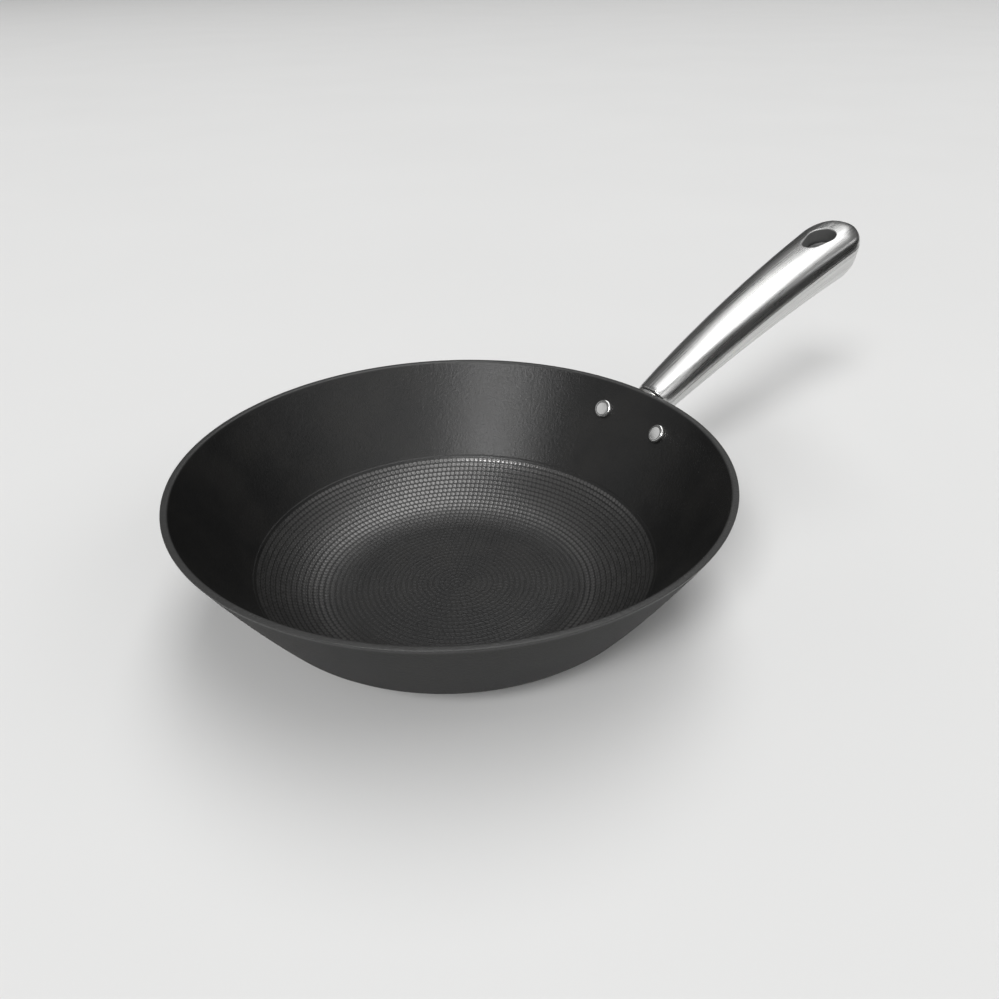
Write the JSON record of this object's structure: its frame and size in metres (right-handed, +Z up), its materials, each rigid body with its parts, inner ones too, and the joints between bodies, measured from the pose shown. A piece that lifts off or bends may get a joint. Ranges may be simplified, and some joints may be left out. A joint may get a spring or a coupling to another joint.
{
  "type": "wok",
  "caption": "Flat-based cast iron wok with a cooking zone of small raised dots, a smooth flared wall and a hollow steel handle on a riveted bracket, for stir-frying.",
  "frame": {"origin": "centre of the flat underside, on the surface the wok stands on", "axes": "+Z up along the bowl's axis, +X from the bowl's axis towards the handle's end"},
  "size_m": [0.491, 0.2994, 0.154],
  "materials": {
    "seasoned_iron": "matt black seasoned iron with a fine cast grain",
    "bracket_steel": "satin stainless steel",
    "rivet_steel": "bright steel with a softly polished face",
    "handle_steel": "stainless steel brushed along its length"
  },
  "bodies": {
    "root": {"wok_body": "seasoned_iron", "handle_bracket": "bracket_steel", "rivet_left": "rivet_steel", "rivet_right": "rivet_steel", "handle_upper_shell": "handle_steel", "handle_lower_shell": "handle_steel"}
  },
  "joints": []
}
